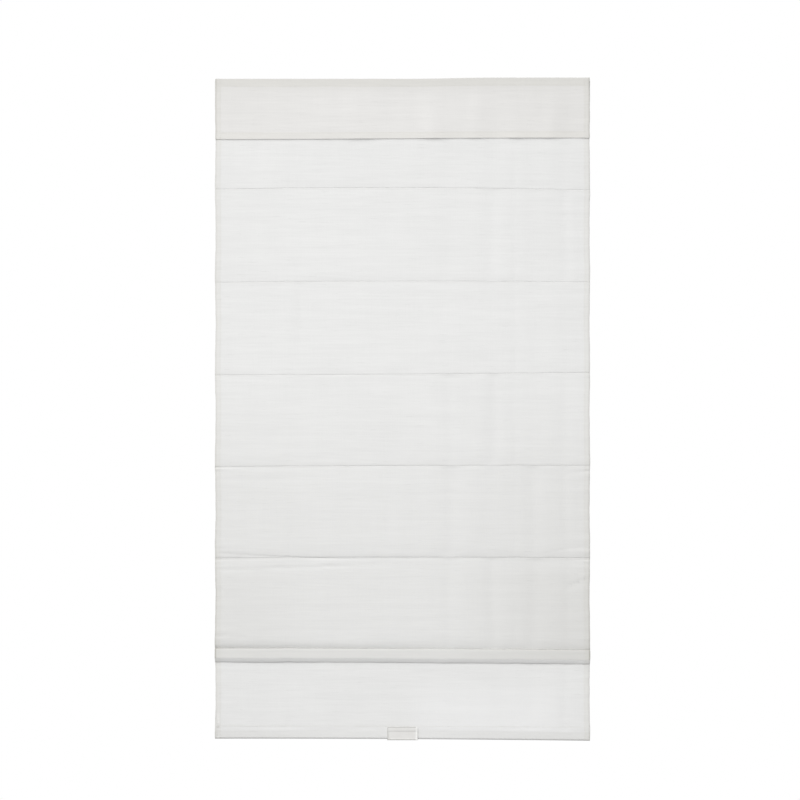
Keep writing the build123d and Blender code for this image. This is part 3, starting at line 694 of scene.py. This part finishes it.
def stand(x, z):
    """How far forward of its flat plane the panel hangs, in metres. Each section rises from its head as
    1 - exp(-d/h), falls to its foot in the same way, and carries soft ripples, the furrows, a hollow beside
    each lift line, puckers along the side hems, gathers at the lowest seam and the creases."""
    section = np.searchsorted(-seams, -z)
    heads = np.append(valance_low.z, seams)[section]
    feet = np.append(seams, rail_top)[section]
    below_head = np.maximum(heads - z, 0)
    above_foot = np.maximum(z - feet, 0)
    share = np.clip(below_head / (heads - feet), 0, 1)
    rise = 1 - np.exp(-below_head / head_turn[section])
    from_under_valance = smooth_step((valance_low.z + 0.012 - z) / 0.035)
    rise = np.where(section == 0, from_under_valance, rise)
    fall = 1 - np.exp(-above_foot / foot_turn[section])
    flatter = np.where(section == sixth, sixth_flatter + sixth_flatter_right * x / half_width, 0)
    body = head_stand[section] * (1 - share) + foot_stand[section] * share * (1 - flatter)
    soft = 0.00030 * ripples(x + 0.02 * section, z, (0.31, 0.127, 0.083), 1)
    soft = soft + 0.00022 * ripples(x * 0.9 + 0.11 * section, z * 2, (0.052, 0.171), 4)
    soft = soft + 0.00016 * ripples(z, x * 4, (0.061, 0.037), 7)
    for column, width, furrow, strengths in furrows:
        wander = photo_x(column) + 0.004 * np.sin(z * 9 + column)
        soft = soft - furrow * np.array(strengths)[section] * bell(x - wander, width)
    soft = soft * 0.7
    held = -0.00045 * bell(np.abs(x) - lift_line + 0.0035, 0.008) * (0.35 + 0.65 * bell(above_foot, 0.05))
    edge = np.exp(-(half_width - np.abs(x)) / 0.022)
    pucker_depth = np.where(section > 3, 0.00074, 0.00034)
    puckers = pucker_depth * edge * ripples(z, x * 9, (0.019, 0.0127, 0.031), 2 + np.sign(x))
    gathers = 0.00030 * bell(above_foot, 0.010) * ripples(x, z, (0.0152, 0.0211), 5)
    gathers = gathers * (section == sixth) * smooth_step((-0.10 - x) / 0.12)
    depth = (body + soft + held + puckers) * rise * fall + gathers
    for start_px, end_px, width, press in creases:
        first = (photo_x(start_px[0]), photo_z(start_px[1]))
        last = (photo_x(end_px[0]), photo_z(end_px[1]))
        depth = depth - press * crease(x, z, first, last, width)
    return depth


# What the cloth does away from the seams: the pleat leans and hangs unevenly, the sides wander by half
# a millimetre and draw in between the seams, and the hem hangs lower towards the right.
on_plane = 1e-5
in_pleat_depth = 1e-4
pleat_lean = 0.0006
pleat_hang = 0.0004
hem_round = 0.004
hem_slope_height = 0.20
rail_back_height = 0.018


def place_panel(x, path):
    """Each point of the path at each x. The free cloth stands forward and follows the sagging seams, and
    the pockets and the round of the rail stay where the path has them. The sides draw in as a cosine
    with one wave for each section, and the hem drops by a square curve across, which fades up the back."""
    y, z = np.repeat(path[:, :1], len(x), 1), np.repeat(path[:, 1:], len(x), 1)
    x = np.repeat(x[None], len(path), 0)
    free = smooth_step((pocket_front - y) / (pocket_front - panel_y))
    past_hem = np.maximum.accumulate(path[:, 1] <= hem_bottom + hem_round)[:, None]
    turned = past_hem & (y > panel_y + on_plane)
    free = np.where(turned, 0, free)
    sag = seam_sag(x[0])
    shift = np.zeros_like(z)
    for line, seam in zip(sag, seams):
        near = (sag_reach - np.abs(z - seam)) / (sag_reach - sag_plateau)
        shift += line * smooth_step(near)
    in_pleat = (y < panel_y - in_pleat_depth) & (z < seams[-1])
    shift = np.where(in_pleat, sag[-1], shift)
    pleat_share = np.clip((seams[-1] - z) / pleat_drop, 0, 1)
    lean = (pleat_lean + 0.0004 * ripples(x, z, (0.19, 0.083, 0.051), 9)) * pleat_share**2
    hang = 0.0005 * ripples(x, z, (0.43, 0.21), 3) - pleat_hang
    hang = (hang - pleat_hang * smooth_step((x / half_width + 1) / 2)) * pleat_share
    forward = np.where(in_pleat, lean * smooth_step((panel_y - y) / 0.001), stand(x, z))
    sides = 0.0006 * ripples(z, np.sign(x), (0.226, 0.094, 0.047), 6 + np.sign(x))
    waist = 0.0008 * np.cos(2 * np.pi * (z - seams[0]) / (seams[0] - seams[1])) + sides
    x = x * (1 + waist * np.abs(x / half_width) ** 3 / half_width)
    side = x / half_width
    tilt = -(0.0003 + 0.0026 * side + 0.0016 * side**2) * smooth_step((seams[-1] - z) / hem_slope_height)
    up_the_back = smooth_step((rail_top - z) / rail_back_height)
    tilt = tilt * np.where(turned, up_the_back, y < panel_y + on_plane)
    return np.stack([x, y - forward * free, z + shift * free + hang * in_pleat + tilt], -1)


panel = Sheet(panel_path(), place_panel)
path_y, path_z = panel.path[:, 0], panel.path[:, 1]
lift = next(j for j in frame["joints"] if j["name"] == "bottom_rail_lift")["range_m"][1]


def row_at(height, last=False):
    """The row of the free front cloth that lies nearest to a height."""
    off = np.where(np.abs(path_y - panel_y) > on_plane, np.inf, np.abs(path_z - height))
    return len(off) - 1 - np.argmin(off[::-1]) if last else np.argmin(off)


def length_at(row):
    """How far down the panel's path a row of the photograph lies, on the free front cloth."""
    return panel.length[row_at(photo_z(row))]


# The panel's cloth. It is whitest at the top. Painted shade makes it greyer under each seam, down the lower
# sections and more so to the right, on the pleat, its ends and its lip, and along the hem, and painted
# light makes the bottom section paler towards its right.
pleat_row = np.where((path_y < panel_y - 0.0005) & (path_z < seams[-1]))[0][0]
pleat_length = panel.length[pleat_row]
pleat_face = pleat_length + 0.0245
above_pleat = pleat_length - 0.0005
ridge_length = length_at(729)
seam_lengths = [panel.length[row_at(seam - 0.0006)] for seam in seams[:-1]]
panel_cloth = slub_cloth(
    "panel_slub_cloth",
    (0.840, 0.840, 0.832),
    (0.822, 0.818, 0.798),
    # Painted shade on the outermost 6 mm of both sides.
    0.20,
    (),
    # Bands of painted shade: under each seam, down the lower sections and more to the right, on the pleat's
    # face and ends, on its lip and along the hem's ridge.
    [(at - 0.0008, at + 0.006, 0.0004, 0.006, 0.09, 0.07, 0.05, 0) for at in seam_lengths]
    + [
        (length_at(350), above_pleat, 0.55, 0.0005, 0.11, 0.075, 0.165, 0.08),
        (length_at(562), above_pleat, 0.05, 0.0005, 0.06, 0.02, 0.09, 0.05),
        (pleat_length, pleat_face, 0.0008, 0.002, 0.31, 0.28, 0.44, 0.45),
        (pleat_length - 0.0030, pleat_length + 0.0024, 0.001, 0.0014, 0.20, 0.23, 0.22, 0.1),
        (ridge_length, ridge_length + 0.05, 0.006, 0.002, 0.16, 0.05, 0.16, 0.1),
    ],
    # A band of painted light towards the right of the bottom section.
    [(length_at(672), length_at(731), 0.08, 0.006, -0.02, 0.09, 0.44, 0.38)],
)


# How the cloth would fold as the blind is drawn up: how far each section's middle comes forward, the room
# left between its two halves there, how much height it loses, and the least share of depth that a half
# keeps.
fold_depths = [0.008, 0.022, 0.023, 0.023, 0.023, 0.023, 0.0215]
fold_gap = 0.0004
section_rise = lift / (seam_count + 1)
least_kept = 0.02


def flatten(piece, held_row, middle_row, section_height, depth):
    """Works out how half a section would fold: its edge at the middle row would come forward by a depth,
    and its height would be cut by its share of what the section loses and by the gap. Flattening along a
    slanted line would do both: with u the square of the line's upright part, u (1 - keep) is the share of
    height lost, and the depth is that loss times the line's slope. The flattening is not applied: the
    piece only gets a mesh of its own."""
    held, middle = path_z[held_row], path_z[middle_row]
    height = abs(held - middle)
    lost = section_rise * height / section_height + fold_gap
    upright_square = 1 / (1 + (depth / lost) ** 2)
    keep = max(least_kept, 1 - lost / height / upright_square)
    slant = math.copysign(math.sqrt(1 - upright_square), middle - held)
    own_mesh(piece)


def cloth_piece(name, first, last, body, stitched=True, extra=()):
    """Rows of the panel as one sheet of cloth that rides on a body; the CAD panel is hidden."""
    parts = [panel.cut(first, last, panel_cloth)]
    if stitched:
        parts.append(side_hem_stitches(panel, first, last))
    piece = fill_mesh(name, parts + list(extra))
    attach(piece, body)
    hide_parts("fabric_panel")
    return piece


# The panel is cut into strips only so that they can ride on the ribs as these rise. At rest the strips meet
# edge to edge on one surface. Each pocket rides on its rib, and each section is cut in two at its middle,
# where it would fold.
closing_height = 0.0090
flap_stitch_inset = 0.0022
head_rows = [row_at(headrail_bottom), *(row_at(seam - sag_reach) for seam in seams[:-1]), pleat_row]
foot_rows = [*(row_at(seam + sag_reach) for seam in seams), row_at(rail_top, last=True)]
riders = ["root", *rib_names, "bottom_rail"]
cloth_piece("panel_top", 0, head_rows[0], "root", stitched=False)
for number, (head_row, foot_row) in enumerate(zip(head_rows, foot_rows)):
    above, below = riders[number : number + 2]
    section_height = path_z[head_row] - path_z[foot_row]
    middle_row = row_at((path_z[head_row] + path_z[foot_row]) / 2, last=True)
    upper = cloth_piece(f"section_{number + 1}_upper", head_row, middle_row, above)
    flatten(upper, head_row, middle_row, section_height, fold_depths[number])
    closing = []
    if number == seam_count:
        closing_row = row_at(rail_top + closing_height, last=True)
        closing = [cross_stitches(panel, panel.length[closing_row], depths=(1,))]
    lower = cloth_piece(f"section_{number + 1}_lower", middle_row, foot_row, below, extra=closing)
    flatten(lower, foot_row, middle_row, section_height, fold_depths[number])
    if number < seam_count:
        cloth_piece(f"pocket_{number + 1}", foot_row, head_rows[number + 1], below)
flap_stitches = cross_stitches(panel, panel.length[-1] - flap_stitch_inset, depths=(-1,))
cloth_piece("bottom_pocket", foot_rows[-1], len(path_z) - 1, "bottom_rail", extra=[flap_stitches])


# The valance: a second sheet of the same cloth, sewn along its top hem to the panel's top, so that it
# hangs free in front of the headrail. Its bottom hem is 18 mm deep.
valance_fold_y = panel_y - cloth_thickness
valance_face_y = valance_fold_y - cloth_thickness - ply_gap
valance_top = valance_high.z - cloth_thickness / 2
valance_bottom = valance_low.z + cloth_thickness / 2
valance_top_hem = 0.020
valance_bottom_hem = 0.018
valance_bends = [0.00049] * 4
valance_row_step = 0.0042

# The valance's lower edge, as the photograph's columns and rows, and its upright ridges: the column, the
# width in metres and how strong each is.
valance_bottom_px = ((216, 139.3), (300, 138.9), (402, 138.8), (500, 137.7), (589, 138.0))
valance_ridges = (
    (352, 0.036, 1.0),
    (431, 0.027, 1.1),
    (474, 0.016, 0.4),
    (514, 0.022, 0.9),
    (550, 0.020, 0.8),
)
ridge_depth = 0.0011
hem_seam_inset = 0.002


def valance_path():
    """The turned-back top hem, the face and the turned-back bottom hem, as y and z in side view."""
    corners = [
        (valance_fold_y, valance_top - valance_top_hem),
        (valance_fold_y, valance_top),
        (valance_face_y, valance_top),
        (valance_face_y, valance_bottom),
        (valance_fold_y, valance_bottom),
        (valance_fold_y, valance_bottom + valance_bottom_hem),
    ]
    return rounded_path(corners, valance_bends, valance_row_step)


def place_valance(x, path):
    """Each point of the path at each x. The face comes forward towards its foot, by a square curve, soft
    ripples and the ridges as bell curves across, and sinks a little at both hem seams. The lower edge
    follows the cubic nearest to its five heights, and the upper edge rises to the right."""
    y, z = np.repeat(path[:, :1], len(x), 1), np.repeat(path[:, 1:], len(x), 1)
    x = np.repeat(x[None], len(path), 0)
    share = np.clip((valance_top - z) / (valance_top - valance_bottom), 0, 1)
    places = [photo_x(column) for column, row in valance_bottom_px]
    drops = [photo_z(row) - valance_low.z for column, row in valance_bottom_px]
    edge = np.polyval(np.polyfit(places, drops, 3), x)
    belly = 0.0007 * share**2
    waves = 0.0009 * ripples(x, z, (0.094, 0.21, 0.135), 8) * share * smooth_step((x + 0.38) / 0.2)
    for column, width, ridge in valance_ridges:
        wander = photo_x(column) + 0.005 * np.sin(z * 21 + column)
        waves = waves + ridge_depth * ridge * bell(x - wander, width) * smooth_step(share / 0.9)
    waves = waves + 0.0004 * ripples(x, z * 3, (0.31, 0.062), 2) * np.sin(np.pi * share)
    near_side = np.exp(-(half_width - np.abs(x)) / 0.02)
    waves = waves + 0.0003 * near_side * ripples(z, x, (0.026, 0.017), 3)
    lower_seam = valance_bottom + valance_bottom_hem - hem_seam_inset
    upper_seam = valance_top - valance_top_hem + hem_seam_inset
    hem_line = 0.00022 * bell(z - lower_seam, 0.0016) + 0.00018 * bell(z - upper_seam, 0.0018)
    x = x * (1 + 0.0012 * ripples(z, np.sign(x), (0.13, 0.05), 4) * np.abs(x / half_width) ** 3)
    top_tilt = (0.0014 + 0.0030 * smooth_step((x - 0.02) / 0.20)) * (1 - share)
    return np.stack([x, y - belly - waves + hem_line, z + edge * share**3 + top_tilt], -1)


valance_cloth = slub_cloth(
    "valance_slub_cloth",
    (0.821, 0.812, 0.797),
    (0.803, 0.793, 0.765),
    # Painted shade: 0.34 on the outermost 6 mm of both sides, then bands below the top hem, fading over 50
    # mm, and faintly over the whole face, more to the right.
    0.34,
    ((0.0205, 0.0405), (0.152, 0.1705)),
    [
        (valance_top_hem - 0.0005, valance_top_hem + 0.050, 0.0005, 0.050, 0.15, 0.20, 0.12, 0),
        (valance_top_hem, 0.3, 0.001, 0.001, 0.03, 0.0, 0.06, 0),
    ],
)
valance_sheet = Sheet(valance_path(), place_valance)
last_row = len(valance_sheet.length) - 1
top_hem_length = valance_top_hem * 2 - hem_seam_inset
bottom_hem_length = valance_sheet.length[-1] - 2 * valance_bottom_hem + hem_seam_inset
valance = fill_mesh(
    "valance_cloth",
    [
        valance_sheet.cut(0, last_row, valance_cloth),
        side_hem_stitches(valance_sheet, 0, last_row),
        cross_stitches(valance_sheet, top_hem_length),
        cross_stitches(valance_sheet, bottom_hem_length),
    ],
)
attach(valance, "root")
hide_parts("valance")
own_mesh(valance)


# The cord rings' ties: each moulded ring is sewn to the back of its pocket with four turns of thread,
# which pass round the ring's wall and through the pocket's cloth.
tie_turns = 4
tie_pitch = 0.0009
tie_radius = 0.00022
tie_steps, tie_sides = 20, 6
ring_hole_depth = 0.0026


def ring_ties(number):
    """Four rings of thread at each lift line, each a torus stretched to an ellipse in side view."""
    ring_low, ring_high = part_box(f"rib_rings_{number}")
    middle_z = (ring_low.z + ring_high.z) / 2
    front_y = rib_y + pocket_half - cloth_thickness
    back_y = ring_low.y + ring_hole_depth
    centre_y = (front_y + back_y) / 2
    half_y = (back_y - front_y) / 2
    half_z = (ring_high.z - ring_low.z) / 2 + tie_radius + 0.0001
    around = np.linspace(0, 2 * np.pi, tie_steps, endpoint=False)[:, None]
    section = np.linspace(0, 2 * np.pi, tie_sides, endpoint=False)
    reach = 1 + tie_radius / half_y * np.cos(section)
    index = np.arange(tie_steps * tie_sides).reshape(tie_steps, tie_sides)
    right, under = np.roll(index, -1, 1), np.roll(index, -1, 0)
    quads = np.stack([index, right, np.roll(under, -1, 1), under], -1).reshape(-1, 4)
    turns = (np.arange(tie_turns) - (tie_turns - 1) / 2) * tie_pitch
    middles = np.concatenate([turns - lift_line, turns + lift_line])[:, None, None]
    x = middles + tie_radius * np.sin(section)
    y = centre_y + half_y * np.cos(around) * reach
    z = middle_z + (half_z + tie_radius * np.cos(section)) * np.sin(around)
    points = np.stack(np.broadcast_arrays(x, y, z), -1).reshape(-1, 3)
    faces = (quads + index.size * np.arange(len(middles))[:, None, None]).reshape(-1, 4)
    return points, faces, np.zeros((len(points), 2)), None, sewing_thread


for number in range(1, seam_count + 1):
    ties = fill_mesh(f"ring_ties_{number}", [ring_ties(number)])
    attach(ties, f"rib_{number}")


# The headrail, its end caps and the brackets: roll-formed steel with baked enamel, moulded plugs, and
# zinc-plated pressed steel with rivets and turning cams.
def speckled(name, constants, low, high, scales, bump, roughness=None):
    """A finish from two noises on Object coordinates: a coarse one moves the colour between two tones
    and the roughness between two values, and a fine one is the grain in the bump."""
    made, shader, start = new_material(name, constants)
    place = start.node("ShaderNodeTexCoord", output="Object")
    coarse = place.noise(3.0, *scales[0])
    fine = place.noise(2.0, *scales[1])
    tone = coarse.rise(0.3, 0.7)
    tone.mix((*low, 1), (*high, 1)).into(shader, "Base Color")
    if roughness:
        (tone * (roughness[1] - roughness[0]) + roughness[0]).into(shader, "Roughness")
    (fine + coarse * 0.4).bump(bump, 0.5).into(shader, "Normal")
    return made


def dress(finish, *names):
    """Gives CAD nodes their finish."""
    for name in names:
        nodes[name].data.materials.clear()
        nodes[name].data.materials.append(finish)


def both(name):
    """The names of a left and a right piece."""
    return f"{name}_left", f"{name}_right"


enamel = speckled(
    "baked_enamel", {"Coat Weight": 0.25, "Coat Roughness": 0.2},
    (0.80, 0.80, 0.785), (0.84, 0.84, 0.825), ((18, 18, 18), (900, 900, 900)), 0.00006, (0.32, 0.45),
)
zinc = speckled(
    "zinc_plate", {"Metallic": 1.0},
    (0.46, 0.48, 0.50), (0.59, 0.59, 0.57), ((70, 70, 70), (1500, 1500, 600)), 0.00005, (0.28, 0.46),
)
spring_steel = speckled(
    "rolled_spring_steel", {"Metallic": 1.0},
    (0.42, 0.43, 0.46), (0.58, 0.58, 0.60), ((40, 40, 300), (200, 200, 4000)), 0.00004, (0.25, 0.40),
)
white_moulding = speckled(
    "white_moulding", {"Specular IOR Level": 0.45},
    (0.79, 0.79, 0.775), (0.82, 0.82, 0.805), ((25, 25, 25), (1800, 1800, 1800)), 0.00005, (0.42, 0.55),
)
acetal = speckled(
    "natural_acetal", {"Specular IOR Level": 0.5},
    (0.74, 0.725, 0.66), (0.79, 0.78, 0.72), ((30, 30, 30), (700, 700, 700)), 0.00004, (0.30, 0.42),
)
dress(enamel, "headrail")
dress(white_moulding, *both("headrail_end_cap"), "motor_base", "motor_cover", *both("cord_guide"))
dress(zinc, *both("bracket"), *both("bracket_rivet"), *both("bracket_cam"), "motor_screws")
dress(zinc, *both("pulley_pin"), "handle_screws")
dress(spring_steel, "motor_spring")
dress(acetal, *both("spool"), "spring_drum", "storage_drum", *both("pulley"))


# Hook tape on the headrail and loop tape on the cloth. Both are woven nylon, one with hooks and one with
# a nap, and the two pressed together hold the panel up.
hook_nylon = speckled(
    "hook_tape_nylon", {"Specular IOR Level": 0.3},
    (0.66, 0.66, 0.65), (0.84, 0.84, 0.83), ((1300, 1300, 1300), (2600, 2600, 2600)), 0.0006, (0.6, 0.8),
)
loop_nylon = speckled(
    "loop_tape_nylon", {"Specular IOR Level": 0.15, "Sheen Weight": 0.3},
    (0.74, 0.74, 0.73), (0.84, 0.84, 0.83), ((500, 500, 500), (1900, 1900, 1900)), 0.0008, (0.85, 0.95),
)
dress(hook_nylon, "hook_tape")
dress(loop_nylon, "loop_tape")


# The ribs and their rings: pultruded glass-fibre rods with fibres along them, one in each pocket, and
# moulded plastic rings behind them.
glass_fibre = speckled(
    "glass_fibre_rod", {"Coat Weight": 0.2, "Coat Roughness": 0.15},
    (0.66, 0.65, 0.53), (0.79, 0.78, 0.68), ((6, 900, 900), (12, 3000, 3000)), 0.00006, (0.25, 0.40),
)
dress(glass_fibre, *rib_names)
dress(white_moulding, *(f"rib_rings_{n}" for n in range(1, seam_count + 1)))


# The bottom rail: a drawn aluminium tube in the bottom pocket, whose weight keeps the cloth straight,
# with moulded plugs in its ends and moulded cord anchors.
drawn_aluminium = speckled(
    "drawn_aluminium", {"Metallic": 1.0},
    (0.70, 0.71, 0.72), (0.80, 0.80, 0.80), ((3, 500, 500), (5, 3000, 3000)), 0.00005, (0.30, 0.44),
)
dress(drawn_aluminium, "bottom_rail")
dress(white_moulding, *both("bottom_rail_cap"), *both("cord_anchor"))


# The pull handle: a clip of pale clear plastic over the hem, moulded in one and satin from wear. Painted
# shade darkens it along its walls and its cross ridge, and a painted highlight makes a pale band inside its
# right wall.
handle_low, handle_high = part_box("pull_handle")
pale_plastic, handle_shader, start = new_material(
    "pale_clear_moulding", {"Coat Weight": 0.1, "Coat Roughness": 0.3, "Specular IOR Level": 0.35}
)
place = start.node("ShaderNodeTexCoord", output="Object")
x = start.node("ShaderNodeSeparateXYZ", None, {0: place})
z = start.node("ShaderNodeSeparateXYZ", None, {0: place}, output=2)
clouds = place.noise(3.0, 45, 45, 45)
grain = place.noise(2.0, 1200, 1200, 1200)
wall = 0.0016
wall_blend = 0.0005
ridge_half = 0.0016
ridge_height = photo_z(731.4)
top_wall = z.rise(handle_high.z - wall, handle_high.z - wall + wall_blend)
bottom_wall = 1 - z.rise(handle_low.z + 0.0010, handle_low.z + 0.0026)
left_wall = 1 - x.rise(handle_low.x + wall - wall_blend, handle_low.x + wall + 0.0008)
painted_highlight_band = x.between(handle_high.x - 0.0058, handle_high.x, 0.0016, 0.0012)
ridge = z.between(ridge_height - ridge_half, ridge_height + ridge_half, ridge_half, ridge_half)
body = clouds.rise(0.3, 0.7).mix((0.775, 0.765, 0.745, 1), (0.805, 0.800, 0.782, 1))
# Painted shade on the walls and the cross ridge, mixed towards dark grey, then a painted highlight in a
# band inside the right wall.
painted_wall_shade = top_wall * 0.65
for shade_share in (left_wall * 0.5, bottom_wall * 0.9, ridge * 0.3):
    painted_wall_shade = start.maths("MAXIMUM", painted_wall_shade, shade_share)
shaded = painted_wall_shade.mix(body, (0.36, 0.36, 0.34, 1))
(painted_highlight_band * 0.75).mix(shaded, (0.92, 0.92, 0.90, 1)).into(handle_shader, "Base Color")
(clouds * 0.14 + 0.38).into(handle_shader, "Roughness")
(grain + clouds * 0.6).bump(0.00008, 0.5).into(handle_shader, "Normal")
dress(pale_plastic, "pull_handle")
